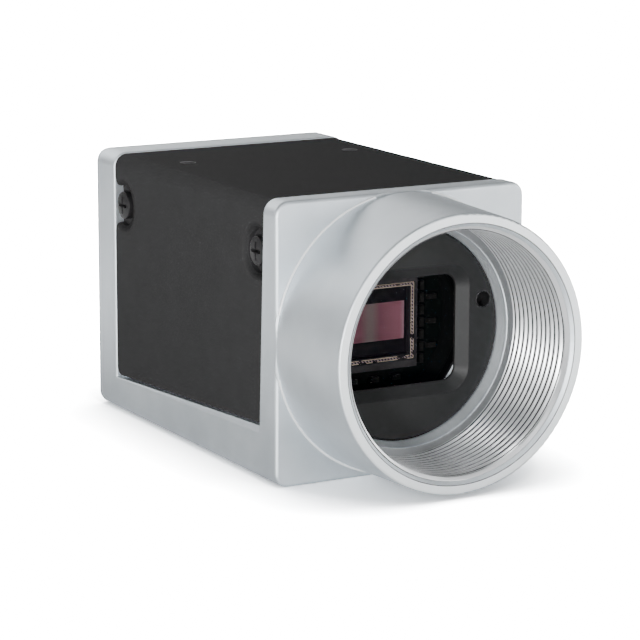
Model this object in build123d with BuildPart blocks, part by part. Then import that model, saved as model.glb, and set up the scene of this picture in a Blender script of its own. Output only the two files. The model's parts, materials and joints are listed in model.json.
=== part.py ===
from build123d import *

import os

os.makedirs("parts", exist_ok=True)

# Machine vision camera, in millimetres.
# The origin is the centre of the lens mount's front face, on the optical axis.
# The lens side faces -Y, the connectors face +Y, and +Z is up.

# Body: the cast housing's outside
body_width = 29.0
body_height = 29.0
body_length = 42.0
corner_round = 1.5
edge_round = 0.4
band_edge_round = 0.22
front_band_top = 2.62
front_band_low = 3.55
rear_band = 4.7
rail_height_front = 5.7
rail_height_rear = 3.9
rail_bevel_height = 0.65
rail_bevel_depth = 0.3
rail_bevel_end = 0.02
rail_lip_height = 1.2

# Body: walls
floor_thickness = 2.2
rail_thickness = 1.9
rear_wall = 1.6
seat_lip = 0.8
pocket_lip = 1.0

# Lens mount: one-inch thread, left as its plain major bore here
mount_length = 11.8
mount_wall = 1.35
mount_draft = 0.4
mount_edge_round = 0.22
mount_base_fillet = 0.25
thread_radius = 12.7
thread_depth = 10.0
lead_in = 0.35
shoulder_height = 1.15
shoulder_round = 0.12
shoulder_depth = 1.25
shoulder_taper = 0.45
flange_to_sensor = 17.526

# Filter holder and its glass
holder_gap = 0.05
holder_thickness = 2.65
holder_edge = 0.2
window_width = 13.1
window_height = 11.1
window_corner = 1.4
bevel_width = 1.15
bevel_depth = 0.85
window_lip = 0.3
pin_hole_radius = 0.8
pin_hole_depth = 1.5
pin_hole_inset = 1.7
pin_hole_z = 2.7
glass_lap = 1.3
glass_thickness = 1.0
glass_corner = 0.5
glass_gap = 0.1
ledge_width = 2.35
ledge_bevel = 0.4

# Black cover
cover_inset = 0.12
cover_thickness = 1.0
cover_gap = 0.12
cover_gap_low = 0.34
cover_lap_gap = 0.08
cover_corner_rear = 1.0
cover_corner_front = 0.3
top_hole_spacing = 20.0
top_boss_radius = 1.8
top_boss_depth = 1.0
rear_hole_setback = 3.044

# Cover screws: M2 in dished seats
screw_top_inset = 5.53
screw_rear_inset = 1.88
screw_head_radius = 1.5
screw_head_height = 0.85
screw_head_dome = 0.16
screw_head_round = 0.12
screw_head_gap = 0.08
screw_radius = 0.95
screw_length = 3.6
screw_gap = 0.05
cross_length = 1.9
cross_width = 0.38
cross_depth = 0.62
cross_taper = 12
seat_clearance = 0.75
seat_depth = 0.95
seat_floor = 0.7
seat_wall = 0.7
seat_gap = 0.1
seat_notch_step = 0.2
seat_mouth_round = 0.8
seat_brim_width = 0.25
seat_brim_depth = 0.32
seat_dish_width = 1.0
seat_dish_depth = 0.1
boss_wall = 1.2
boss_end = 0.4

# Tapped holes
m2_tap_radius = 0.8
m3_tap_radius = 1.25
tap_wall = 0.9
base_hole_spacing = 20.0
base_m3_depth = 3.0
base_m2_depth = 3.0
boss_cap = 0.6

# Image sensor
cavity_width = 7.95
cavity_height = 7.2
package_side_wall = 0.925
package_end_wall = 1.35
package_rim = 0.65
package_back = 1.08
die_gap = 0.075
die_thickness = 0.5
lid_lap = 0.475
lid_thickness = 0.5
ring_width = 0.42
ring_thickness = 0.1

# Board stack
board_gap = 0.1
board_thickness = 1.2
board_corner = 0.8
standoff_radius = 1.4
standoff_top_inset = 4.5
standoff_low_inset = 1.6
standoff_edge = 1.8
standoff_floor_gap = 0.3
stack_screw_radius = 0.75
stack_screw_gap = 0.1
stack_screw_bite = 2.2
stack_head_radius = 1.35
stack_head_height = 0.8
front_gap_share = 0.15
rear_gap_share = 0.2
seal_step = 0.45
seal_width = 0.75
link_width = 12.0
link_height = 3.0
link_z = -7.2
processor_size = 13.0
processor_thickness = 1.3
processor_z = 1.5
memory_width = 8.0
memory_height = 5.4
memory_thickness = 1.0
memory_space = 3.2
memory_z = 3.0
transformer_width = 14.0
transformer_height = 7.0
transformer_thickness = 5.2
transformer_z = 2.0
chip_length = 1.0
chip_width = 0.55
chip_height = 0.5
chip_pitch = 1.3
chip_rows = 8
chip_space = 1.3

# Network jack
jack_width_share = 0.545
jack_height_share = 0.45
jack_floor_gap = 0.6
jack_nose = 2.0
jack_wall = 0.35
jack_gap = 0.12
plug_side = 1.95
plug_floor = 3.2
plug_headroom = 2.45
plug_depth_share = 0.3
latch_width = 6.2
latch_height = 1.7
contact_count = 8
contact_pitch = 1.02
contact_width = 0.45
contact_thickness = 0.3
contact_length = 7.6
contact_drop = 0.45
lock_hole_gap = 2.7
lock_hole_depth = 3.6

# Round six-pin connector
io_side_gap = 0.49
io_jack_gap = 1.0
io_top_gap = 0.23
io_reach = 6.5
io_shell_wall = 0.85
io_flange_width = 0.7
io_flange_thickness = 1.1
io_thread_step = 0.2
io_hole_gap = 0.1
io_nut_step = 0.1
io_nut_thickness = 1.5
io_tail = 3.6
io_insert_recess = 3.4
io_pin_count = 6
io_pin_circle_share = 0.52
io_pin_radius = 0.35
io_pin_reach = 2.4
io_body_step = 0.25

# Status light
light_radius = 1.0
light_proud = 0.25
light_gap = 0.05
led_size = 1.6
led_height = 0.8

# Places of the body and its walls
half_width = body_width / 2
half_height = body_height / 2
body_front = mount_length
body_rear = mount_length + body_length
bay_rear = body_rear - rear_band
wall_inside = body_rear - rear_wall
front_wall_back = body_front + front_band_low
floor_top = -half_height + floor_thickness
cavity_half_width = half_width - rail_thickness
pocket_half_width = cavity_half_width - pocket_lip
rail_top_front = -half_height + rail_height_front
rail_top_rear = -half_height + rail_height_rear
band_slope = (front_band_low - front_band_top) / (half_height - rail_top_front)
sides = (-1, 1)

# Places of the lens mount and the filter holder
mount_face_radius = thread_radius + mount_wall
mount_base_radius = mount_face_radius + mount_draft
shoulder_radius = thread_radius - shoulder_height
seat_radius = shoulder_radius - shoulder_taper
holder_radius = seat_radius - holder_gap
holder_face = thread_depth + shoulder_depth
ledge_face = holder_face + holder_thickness
ledge_radius = seat_radius - ledge_width
window_face = holder_face + bevel_depth
glass_front = window_face + window_lip
glass_width = window_width + 2 * glass_lap
glass_height = window_height + 2 * glass_lap

# Places of the cover and its screws
cover_half_width = half_width - cover_inset
cover_top = half_height - cover_inset
cover_inside = cover_half_width - cover_thickness
cover_ceiling = cover_top - cover_thickness
cover_end = bay_rear - cover_gap
lip_half_width = cover_inside - cover_lap_gap
pocket_top = cover_ceiling - pocket_lip
screw_z = half_height - screw_top_inset
band_at_screw = body_front + front_band_top + band_slope * (half_height - screw_z)
screw_front = band_at_screw + screw_head_gap + screw_head_radius
screw_rear = bay_rear - screw_rear_inset
screw_places = [(screw_front, screw_z), (screw_rear, screw_z)]
screw_hole_radius = screw_radius + screw_gap
seat_well_radius = screw_head_radius + seat_clearance
seat_notch_half_height = seat_well_radius - seat_notch_step
seat_outer_radius = seat_well_radius + seat_wall
seat_well_floor = cover_half_width - seat_depth
seat_plane = seat_well_floor - seat_floor
boss_half_height = screw_hole_radius + boss_wall
boss_length = screw_length - seat_floor + boss_end

# Places of the sensor and the board stack
package_width = cavity_width + 2 * package_side_wall
package_height = cavity_height + 2 * package_end_wall
package_front = flange_to_sensor - package_rim
lid_width = cavity_width + 2 * lid_lap
lid_height = cavity_height + 2 * lid_lap
lid_front = package_front - ring_thickness - lid_thickness
sensor_board_front = flange_to_sensor + package_back
sensor_board_back = sensor_board_front + board_thickness
processor_front = sensor_board_back + front_gap_share * body_length
processor_back = processor_front + board_thickness
interface_front = processor_back + rear_gap_share * body_length
interface_back = interface_front + board_thickness
board_half_width = cavity_half_width - board_gap
board_half_height = half_height - floor_thickness - board_gap
standoff_top_x = board_half_width - standoff_top_inset
standoff_low_x = board_half_width - standoff_low_inset
standoff_top_z = board_half_height - standoff_edge
standoff_low_z = -half_height + base_m3_depth + boss_cap + standoff_floor_gap + standoff_radius
standoffs = [(side * standoff_top_x, standoff_top_z) for side in sides]
standoffs += [(side * standoff_low_x, standoff_low_z) for side in sides]
stack_hole_radius = stack_screw_radius + stack_screw_gap
seal_inner_radius = ledge_radius + seal_step
chip_places = [(row - (chip_rows - 1) / 2) * chip_pitch for row in range(chip_rows)]

# Places of the tapped holes
top_holes = [(side * top_hole_spacing / 2, interface_back + rear_hole_setback) for side in sides]
base_m2_holes = [(side * base_hole_spacing / 2, interface_back + rear_hole_setback) for side in sides]
base_m3_holes = [(side * base_hole_spacing / 2, (sensor_board_back + processor_front) / 2) for side in sides]

# Places of the jack, the round connector and the light
jack_width = jack_width_share * body_width
jack_height = jack_height_share * body_height
jack_bottom = floor_top + jack_floor_gap
jack_top = jack_bottom + jack_height
jack_z = jack_bottom + jack_height / 2
jack_mouth = body_rear + jack_nose
jack_inner_width = jack_width - 2 * jack_wall
jack_inner_height = jack_height - 2 * jack_wall
plug_width = jack_width - 2 * plug_side
plug_height = jack_height - plug_floor - plug_headroom
plug_z = jack_bottom + plug_floor + plug_height / 2
plug_end = jack_mouth - plug_depth_share * body_length
latch_z = plug_z - (plug_height + latch_height) / 2
contact_z = plug_z + plug_height / 2 - contact_drop - contact_thickness / 2
lock_hole_x = jack_width / 2 + lock_hole_gap
io_flange_radius = (pocket_top - jack_top - io_jack_gap - io_top_gap) / 2
io_shell_radius = io_flange_radius - io_flange_width
io_nut_flats = 2 * (io_flange_radius - io_nut_step)
io_nut_corner = io_nut_flats / 3**0.5
boss_inner_end = seat_plane - boss_length
io_x = boss_inner_end - io_nut_corner - io_side_gap
io_z = jack_top + io_jack_gap + io_flange_radius
io_mouth = body_rear + io_reach
io_back = wall_inside - io_tail
io_face = io_mouth - io_insert_recess
io_bore_radius = io_shell_radius - io_shell_wall
io_thread_radius = io_shell_radius - io_thread_step
io_pin_circle_radius = io_pin_circle_share * io_bore_radius
light_x = -(boss_inner_end + io_nut_corner - io_x) / 2
light_z = io_z


def station(y):
    """The cross-section at distance y behind the mount's face, with X to the right and Z up.
    Its normal points to the front, so a negative extrusion runs to the rear."""
    return Plane.XZ.offset(-y)


def bar(width, height, y_front, y_rear, x=0.0, z=0.0, corner=0.0, mode=Mode.ADD):
    """Builds a block along Y between two stations, centred on x and z, with optional round corners."""
    with BuildSketch(station(y_front)) as outline:
        with Locations((x, z)):
            if corner:
                RectangleRounded(width, height, corner)
            else:
                Rectangle(width, height)
    extrude(outline.sketch, amount=y_front - y_rear, mode=mode)


def rod(radius, y_front, y_rear, places, mode=Mode.ADD):
    """Builds round rods along Y between two stations, one at each x and z of the places."""
    with BuildSketch(station(y_front)) as outline:
        with Locations(*places):
            Circle(radius)
    extrude(outline.sketch, amount=y_front - y_rear, mode=mode)


def stud(radius, z_start, height, places, mode=Mode.ADD):
    """Builds upright round studs from z_start, one at each x and y of the places."""
    with BuildSketch(Plane.XY.offset(z_start)) as outline:
        with Locations(*places):
            Circle(radius)
    extrude(outline.sketch, amount=height, mode=mode)


def bay_outline(gap, lift):
    """Side outline, in Y and Z, of the bay that the cover fills. Its ends are drawn in by the gap,
    its lower edge is lifted, and its top stands one corner's round above the body."""
    return [
        (body_front + front_band_top + gap - band_slope * corner_round, half_height + corner_round),
        (front_wall_back + gap - band_slope * lift, rail_top_front + lift),
        (bay_rear - gap, rail_top_rear + lift),
        (bay_rear - gap, half_height + corner_round),
    ]


def small_parts(y_face, y_top, places):
    """Builds small soldered parts on a board's face. Each place is x, z and whether the part stands
    upright."""
    for x, z, upright in places:
        width, height = (chip_width, chip_length) if upright else (chip_length, chip_width)
        bar(width, height, min(y_face, y_top), max(y_face, y_top), x, z)


def circuit_board(y_front):
    """Builds a board of the stack, drilled for the stack's four screws."""
    y_rear = y_front + board_thickness
    bar(2 * board_half_width, 2 * board_half_height, y_front, y_rear, corner=board_corner)
    rod(stack_hole_radius, y_front, y_rear, standoffs, mode=Mode.SUBTRACT)


def spacers(y_front, y_rear):
    """Builds four tubes between two boards, round the stack's screws."""
    rod(standoff_radius, y_front, y_rear, standoffs)
    rod(stack_hole_radius, y_front, y_rear, standoffs, mode=Mode.SUBTRACT)


# Lens tube: drafted outside, small fillet at its foot, kept within the front plate's outline
with BuildPart() as tube:
    with BuildSketch(Plane.XY) as tube_profile:
        with BuildLine():
            Polyline(
                (ledge_radius, 0),
                (mount_face_radius, 0),
                (mount_base_radius, body_front),
                (mount_base_radius + mount_base_fillet, body_front),
                (mount_base_radius + mount_base_fillet, body_front + edge_round),
                (ledge_radius, body_front + edge_round),
                close=True,
            )
        make_face()
        foot = tube_profile.vertices().sort_by_distance((mount_base_radius, body_front, 0))[0]
        fillet(foot, mount_base_fillet * 0.9)
        rim = tube_profile.vertices().sort_by_distance((mount_face_radius, 0, 0))[0]
        fillet(rim, mount_edge_round)
    revolve(axis=Axis.Y)
    with BuildSketch(station(0)):
        RectangleRounded(body_width, body_height, corner_round)
    extrude(amount=-body_rear, mode=Mode.INTERSECT)

# Everything bored from the mount's face: lead-in, thread, shoulder, holder's seat and ledge
with BuildPart() as mount_bore:
    with BuildSketch(Plane.XY) as bore_profile:
        with BuildLine():
            Polyline(
                (0, -lead_in),
                (thread_radius + 2 * lead_in, -lead_in),
                (thread_radius, lead_in),
                (thread_radius, thread_depth),
                (shoulder_radius, thread_depth),
                (seat_radius, holder_face),
                (seat_radius, ledge_face),
                (ledge_radius + ledge_bevel, ledge_face),
                (ledge_radius, ledge_face + ledge_bevel),
                (ledge_radius, front_wall_back + ledge_bevel),
                (0, front_wall_back + ledge_bevel),
                close=True,
            )
        make_face()
        brow = bore_profile.vertices().sort_by_distance((shoulder_radius, thread_depth, 0))[0]
        fillet(brow, shoulder_round)
    revolve(axis=Axis.Y)

# Housing: one casting of front plate, lens tube, floor with side rails, and rear plate
with BuildPart() as housing:
    with BuildSketch(station(body_front)):
        RectangleRounded(body_width, body_height, corner_round)
    extrude(amount=-body_length)
    fillet(housing.faces().sort_by(Axis.Y)[0].edges(), edge_round)
    fillet(housing.faces().sort_by(Axis.Y)[-1].edges(), edge_round)

    # bay for the cover and the boards, open at the top and both sides, with a lip behind each wing
    with BuildSketch(Plane.YZ):
        Polygon(*bay_outline(0, rail_lip_height), align=None)
    extrude(amount=body_width, both=True, mode=Mode.SUBTRACT)
    for side in sides:
        with BuildSketch(Plane.YZ.offset(side * lip_half_width)):
            Polygon(*bay_outline(0, 0), align=None)
        extrude(amount=side * half_width, mode=Mode.SUBTRACT)

    # the bands' outer edges, which meet the cover
    flat_faces = housing.faces().filter_by(GeomType.PLANE)
    rear_faces = flat_faces.filter_by_position(Axis.Y, bay_rear - holder_gap, bay_rear + holder_gap)
    front_faces = flat_faces.filter_by_position(Axis.Y, body_front + front_band_top, front_wall_back)
    bay_faces = [rear_faces.sort_by(SortBy.AREA)[-1], front_faces.sort_by(SortBy.AREA)[-1]]
    band_edges = [
        edge
        for face in bay_faces
        for edge in face.edges()
        if max(abs(edge.center().X) - half_width, edge.center().Z - half_height) > -corner_round
        and edge.center().Z > rail_top_front + rail_lip_height
    ]
    fillet(band_edges, band_edge_round)

    # inside: a thicker front wall and a rear lip, which the cover lies on
    front_wall_span = (body_front + edge_round, front_wall_back)
    rear_lip_span = (bay_rear - seat_lip, bay_rear + seat_lip)
    for span in (front_wall_span, rear_lip_span):
        bar(2 * lip_half_width, cover_ceiling - floor_top, *span, z=(cover_ceiling + floor_top) / 2)
    bar(2 * cavity_half_width, half_height - floor_top, front_wall_back, bay_rear - seat_lip,
        z=(half_height + floor_top) / 2, mode=Mode.SUBTRACT)
    bar(2 * pocket_half_width, pocket_top - floor_top, bay_rear - seat_lip, wall_inside,
        z=(pocket_top + floor_top) / 2, mode=Mode.SUBTRACT)

    # the rails' upper edge, bevelled in a long wedge that runs out at the rear
    for side in sides:
        with BuildSketch(station(front_wall_back)):
            with BuildLine():
                Polyline(
                    (side * half_width, rail_top_front - rail_bevel_height),
                    (side * (half_width - rail_bevel_depth), rail_top_front),
                    (side * (half_width + rail_thickness), rail_top_front),
                    (side * (half_width + rail_thickness), rail_top_front - rail_bevel_height),
                    close=True,
                )
            make_face()
        with BuildSketch(station(bay_rear)):
            with BuildLine():
                Polyline(
                    (side * half_width, rail_top_rear - rail_bevel_end),
                    (side * (half_width - rail_bevel_end), rail_top_rear),
                    (side * (half_width + rail_thickness), rail_top_rear),
                    (side * (half_width + rail_thickness), rail_top_rear - rail_bevel_end),
                    close=True,
                )
            make_face()
        loft(mode=Mode.SUBTRACT)

    # screw bosses: the front pair on the front wall, the rear pair on the rear wall,
    # with room beside them for the cover's screw seats
    for side in sides:
        boss_x = side * (seat_plane - boss_length / 2)
        with BuildSketch(Plane.YZ.offset(side * seat_plane)):
            with Locations(*screw_places):
                Circle(seat_outer_radius + seat_gap)
            with Locations(screw_places[1]):
                Rectangle(2 * seat_outer_radius, 2 * (seat_outer_radius + seat_gap),
                          align=(Align.MIN, Align.CENTER))
            with BuildLine():
                Polyline(*bay_outline(0, 0), close=True)
            make_face(mode=Mode.INTERSECT)
        extrude(amount=side * (cover_inside - seat_plane), mode=Mode.SUBTRACT)
        bar(boss_length, 2 * boss_half_height, front_wall_back, screw_front + boss_half_height,
            boss_x, screw_z)
        bar(boss_length, 2 * boss_half_height, screw_rear - boss_half_height, wall_inside,
            boss_x, screw_z)
        with BuildSketch(Plane.YZ.offset(side * seat_plane)):
            with Locations(*screw_places):
                Circle(screw_hole_radius)
        extrude(amount=-side * boss_length, mode=Mode.SUBTRACT)

    # standoffs for the board stack, and tapped bosses in the floor
    rod(standoff_radius, front_wall_back, sensor_board_front, standoffs)
    stud(m3_tap_radius + tap_wall, -half_height, base_m3_depth + boss_cap, base_m3_holes)
    stud(m2_tap_radius + tap_wall, -half_height, base_m2_depth + boss_cap, base_m2_holes)
    stud(m3_tap_radius, -half_height, base_m3_depth, base_m3_holes, mode=Mode.SUBTRACT)
    stud(m2_tap_radius, -half_height, base_m2_depth, base_m2_holes, mode=Mode.SUBTRACT)

    # rear wall: locking screws' holes, jack, round connector and light
    lock_holes = [(side * lock_hole_x, jack_z) for side in sides]
    rod(m2_tap_radius + tap_wall, body_rear - lock_hole_depth - boss_cap, wall_inside, lock_holes)
    rod(m2_tap_radius, body_rear - lock_hole_depth, body_rear, lock_holes, mode=Mode.SUBTRACT)
    bar(jack_width + 2 * jack_gap, jack_height + 2 * jack_gap, wall_inside, body_rear,
        z=jack_z, mode=Mode.SUBTRACT)
    rod(io_thread_radius + io_hole_gap, wall_inside, body_rear, [(io_x, io_z)], mode=Mode.SUBTRACT)
    rod(light_radius + light_gap, wall_inside, body_rear, [(light_x, light_z)], mode=Mode.SUBTRACT)

    # lens mount, and the standoffs' screw holes
    add(tube.part)
    add(mount_bore.part, mode=Mode.SUBTRACT)
    rod(stack_hole_radius, sensor_board_front - stack_screw_bite, sensor_board_front, standoffs,
        mode=Mode.SUBTRACT)
housing.part.label = "housing"
export_step(housing.part, "parts/housing.step")

# Wells of the cover's screw seats: round at the front, open to the cover's edge at the rear
with BuildPart() as front_well:
    with BuildSketch(Plane.YZ.offset(seat_well_floor)):
        with Locations(screw_places[0]):
            Circle(seat_well_radius)
    extrude(amount=seat_depth)
with BuildPart() as rear_well:
    with BuildSketch(Plane.YZ.offset(seat_well_floor)) as rear_well_outline:
        with Locations(screw_places[1]):
            Circle(seat_well_radius)
            Rectangle(2 * seat_well_radius, 2 * seat_notch_half_height, align=(Align.MIN, Align.CENTER))
        with Locations((cover_end, screw_z)):
            Rectangle(seat_well_radius, 4 * seat_well_radius, align=(Align.MIN, Align.CENTER))
        mouth = [
            rear_well_outline.vertices().sort_by_distance(
                (cover_end, screw_z + side * seat_notch_half_height, 0))[0]
            for side in sides
        ]
        fillet(mouth, seat_mouth_round)
    extrude(amount=seat_depth)
with BuildPart() as seat_dish:
    for y, z in screw_places:
        with BuildSketch(Plane(origin=(cover_half_width, y, z), x_dir=(0, 1, 0), z_dir=(0, 0, 1))):
            with BuildLine():
                Polyline(
                    (0, 0),
                    (seat_well_radius + seat_brim_width + seat_dish_width, 0),
                    (seat_well_radius + seat_brim_width, seat_dish_depth),
                    (seat_well_radius, seat_brim_depth),
                    (0, seat_brim_depth),
                    close=True,
                )
            make_face()
        revolve(axis=Axis((cover_half_width, y, z), (1, 0, 0)))

# Cover: one folded piece of top and two wings
with BuildPart() as cover:
    with BuildSketch(station(body_front)):
        RectangleRounded(2 * cover_half_width, 2 * cover_top, corner_round - cover_inset)
        Rectangle(2 * cover_inside, 2 * cover_ceiling, mode=Mode.SUBTRACT)
    extrude(amount=-body_length)

    # metal behind each screw seat, on the inside of the wings
    for side in sides:
        with BuildSketch(Plane.YZ.offset(side * cover_inside)):
            with Locations(*screw_places):
                Circle(seat_outer_radius)
            with Locations(screw_places[1]):
                Rectangle(2 * seat_outer_radius, 2 * seat_outer_radius, align=(Align.MIN, Align.CENTER))
        extrude(amount=-side * (cover_inside - seat_plane))

    # trimmed to the bay's outline, with the wings' lower corners rounded
    with BuildSketch(Plane.YZ) as wing:
        wing_outline = bay_outline(cover_gap, cover_gap_low)
        Polygon(*wing_outline, align=None)
        fillet(wing.vertices().sort_by_distance((*wing_outline[2], 0))[0], cover_corner_rear)
        fillet(wing.vertices().sort_by_distance((*wing_outline[1], 0))[0], cover_corner_front)
    extrude(amount=body_width, both=True, mode=Mode.INTERSECT)

    # tapped bosses under the two holes in the top
    stud(top_boss_radius, cover_ceiling, -top_boss_depth, top_holes)
    stud(m2_tap_radius, cover_top, -cover_thickness - top_boss_depth, top_holes, mode=Mode.SUBTRACT)

    # screw seats and the screws' holes, on both sides
    for tool in (front_well.part, rear_well.part, seat_dish.part):
        add(tool, mode=Mode.SUBTRACT)
        mirror(tool, about=Plane.YZ, mode=Mode.SUBTRACT)
    with BuildSketch(Plane.YZ):
        with Locations(*screw_places):
            Circle(screw_hole_radius)
    extrude(amount=cover_half_width, both=True, mode=Mode.SUBTRACT)
cover.part.label = "cover"
export_step(cover.part, "parts/cover.step")

# Cover screws, heads down in their wells
with BuildPart() as cover_screws:
    for side in sides:
        crown_x = seat_well_floor + screw_head_height + screw_head_dome
        for y, z in screw_places:
            seat = Plane(origin=(side * seat_well_floor, y, z), x_dir=(0, 1, 0), z_dir=(0, 0, side))
            with BuildSketch(seat) as head_profile:
                with BuildLine():
                    rim = (screw_head_radius, -screw_head_height)
                    crown = (0, -screw_head_height - screw_head_dome)
                    Line((0, 0), (screw_head_radius, 0))
                    Line((screw_head_radius, 0), rim)
                    TangentArc(crown, rim, tangent=(1, 0), tangent_from_first=True)
                    Line(crown, (0, 0))
                make_face()
                fillet(head_profile.vertices().sort_by_distance((*rim, 0))[0], screw_head_round)
            revolve(axis=Axis((side * seat_well_floor, y, z), (1, 0, 0)))
        with BuildSketch(Plane.YZ.offset(side * crown_x)):
            with Locations(*screw_places):
                Rectangle(cross_length, cross_width)
                Rectangle(cross_width, cross_length)
        extrude(amount=-side * cross_depth, taper=cross_taper, mode=Mode.SUBTRACT)
        with BuildSketch(Plane.YZ.offset(side * seat_well_floor)):
            with Locations(*screw_places):
                Circle(screw_radius)
        extrude(amount=-side * screw_length)
cover_screws.part.label = "cover_screws"
export_step(cover_screws.part, "parts/cover_screws.step")

# Filter holder: a disc dropped into the mount from the front, with a bevelled window
with BuildPart() as filter_holder:
    rod(holder_radius, holder_face, ledge_face, [(0, 0)])
    chamfer(filter_holder.edges().filter_by(GeomType.CIRCLE).sort_by(Axis.Y)[0], holder_edge)
    with BuildSketch(station(holder_face)):
        RectangleRounded(
            window_width + 2 * bevel_width, window_height + 2 * bevel_width, window_corner + bevel_width
        )
    with BuildSketch(station(window_face)):
        RectangleRounded(window_width, window_height, window_corner)
    loft(mode=Mode.SUBTRACT)
    bar(window_width, window_height, window_face, glass_front, corner=window_corner, mode=Mode.SUBTRACT)
    bar(glass_width + 2 * glass_gap, glass_height + 2 * glass_gap, glass_front, ledge_face,
        corner=glass_corner, mode=Mode.SUBTRACT)
    rod(pin_hole_radius, holder_face, holder_face + pin_hole_depth,
        [(holder_radius - pin_hole_inset, pin_hole_z)], mode=Mode.SUBTRACT)
filter_holder.part.label = "filter_holder"
export_step(filter_holder.part, "parts/filter_holder.step")

# Filter glass, in the recess behind the window
with BuildPart() as filter_glass:
    bar(glass_width, glass_height, glass_front, glass_front + glass_thickness, corner=glass_corner)
filter_glass.part.label = "filter_glass"
export_step(filter_glass.part, "parts/filter_glass.step")

# Dust seal: a rubber ring between the front wall and the sensor board
with BuildPart() as dust_seal:
    rod(seal_inner_radius + seal_width, front_wall_back, sensor_board_front, [(0, 0)])
    rod(seal_inner_radius, front_wall_back, sensor_board_front, [(0, 0)], mode=Mode.SUBTRACT)
dust_seal.part.label = "dust_seal"
export_step(dust_seal.part, "parts/dust_seal.step")

# Sensor package: ceramic, with the chip's cavity
with BuildPart() as sensor_package:
    bar(package_width, package_height, package_front, sensor_board_front)
    bar(cavity_width, cavity_height, package_front, flange_to_sensor + die_thickness,
        mode=Mode.SUBTRACT)
sensor_package.part.label = "sensor_package"
export_step(sensor_package.part, "parts/sensor_package.step")

# Sensor chip: its light-sensitive face lies at the mount's flange distance
with BuildPart() as sensor_die:
    bar(cavity_width - 2 * die_gap, cavity_height - 2 * die_gap, flange_to_sensor,
        flange_to_sensor + die_thickness)
sensor_die.part.label = "sensor_die"
export_step(sensor_die.part, "parts/sensor_die.step")

# Gold seal ring round the cavity, and the glass lid on it
with BuildPart() as sensor_seal_ring:
    bar(lid_width, lid_height, package_front - ring_thickness, package_front)
    bar(lid_width - 2 * ring_width, lid_height - 2 * ring_width, package_front - ring_thickness,
        package_front, mode=Mode.SUBTRACT)
sensor_seal_ring.part.label = "sensor_seal_ring"
export_step(sensor_seal_ring.part, "parts/sensor_seal_ring.step")
with BuildPart() as sensor_lid_glass:
    bar(lid_width, lid_height, lid_front, lid_front + lid_thickness)
sensor_lid_glass.part.label = "sensor_lid_glass"
export_step(sensor_lid_glass.part, "parts/sensor_lid_glass.step")

# Sensor board and the small parts soldered round the package
with BuildPart() as sensor_board:
    circuit_board(sensor_board_front)
sensor_board.part.label = "sensor_board"
export_step(sensor_board.part, "parts/sensor_board.step")
beside = package_width / 2 + chip_space
beyond = beside + chip_space
below = package_height / 2 + chip_space
sensor_places = [(side * beside, z, True) for side in sides for z in chip_places]
sensor_places += [(side * beyond, z, False) for side in sides for z in chip_places[1:7:2]]
sensor_places += [(x, side * below, False) for side in sides for x in chip_places[::2]]
with BuildPart() as sensor_board_parts:
    small_parts(sensor_board_front, sensor_board_front - chip_height, sensor_places)
sensor_board_parts.part.label = "sensor_board_parts"
export_step(sensor_board_parts.part, "parts/sensor_board_parts.step")

# Processor board, with the processor behind and the memory in front
with BuildPart() as processor_board:
    circuit_board(processor_front)
processor_board.part.label = "processor_board"
export_step(processor_board.part, "parts/processor_board.step")
with BuildPart() as processor_chip:
    bar(processor_size, processor_size, processor_back, processor_back + processor_thickness,
        z=processor_z)
processor_chip.part.label = "processor_chip"
export_step(processor_chip.part, "parts/processor_chip.step")
with BuildPart() as memory_chips:
    for side in sides:
        bar(memory_width, memory_height, processor_front - memory_thickness, processor_front,
            side * (memory_width + memory_space) / 2, memory_z)
memory_chips.part.label = "memory_chips"
export_step(memory_chips.part, "parts/memory_chips.step")
processor_places = [
    (side * (processor_size / 2 + chip_space), z, True) for side in sides for z in chip_places
]
with BuildPart() as processor_board_parts:
    small_parts(processor_back, processor_back + chip_height, processor_places)
processor_board_parts.part.label = "processor_board_parts"
export_step(processor_board_parts.part, "parts/processor_board_parts.step")

# Interface board, with the network transformer in front and the connectors behind
with BuildPart() as interface_board:
    circuit_board(interface_front)
interface_board.part.label = "interface_board"
export_step(interface_board.part, "parts/interface_board.step")
with BuildPart() as network_transformer:
    bar(transformer_width, transformer_height, interface_front - transformer_thickness,
        interface_front, z=transformer_z)
network_transformer.part.label = "network_transformer"
export_step(network_transformer.part, "parts/network_transformer.step")
interface_places = [
    (side * (transformer_width / 2 + chip_space), z, True) for side in sides for z in chip_places
]
with BuildPart() as interface_board_parts:
    small_parts(interface_front, interface_front - chip_height, interface_places)
interface_board_parts.part.label = "interface_board_parts"
export_step(interface_board_parts.part, "parts/interface_board_parts.step")

# Board-to-board connectors: each plug in front and its socket behind meet halfway
sensor_link_y = (sensor_board_back + processor_front) / 2
interface_link_y = (processor_back + interface_front) / 2
with BuildPart() as sensor_link_plug:
    bar(link_width, link_height, sensor_board_back, sensor_link_y, z=link_z)
sensor_link_plug.part.label = "sensor_link_plug"
export_step(sensor_link_plug.part, "parts/sensor_link_plug.step")
with BuildPart() as sensor_link_socket:
    bar(link_width, link_height, sensor_link_y, processor_front, z=link_z)
sensor_link_socket.part.label = "sensor_link_socket"
export_step(sensor_link_socket.part, "parts/sensor_link_socket.step")
with BuildPart() as interface_link_plug:
    bar(link_width, link_height, processor_back, interface_link_y, z=link_z)
interface_link_plug.part.label = "interface_link_plug"
export_step(interface_link_plug.part, "parts/interface_link_plug.step")
with BuildPart() as interface_link_socket:
    bar(link_width, link_height, interface_link_y, interface_front, z=link_z)
interface_link_socket.part.label = "interface_link_socket"
export_step(interface_link_socket.part, "parts/interface_link_socket.step")

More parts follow.
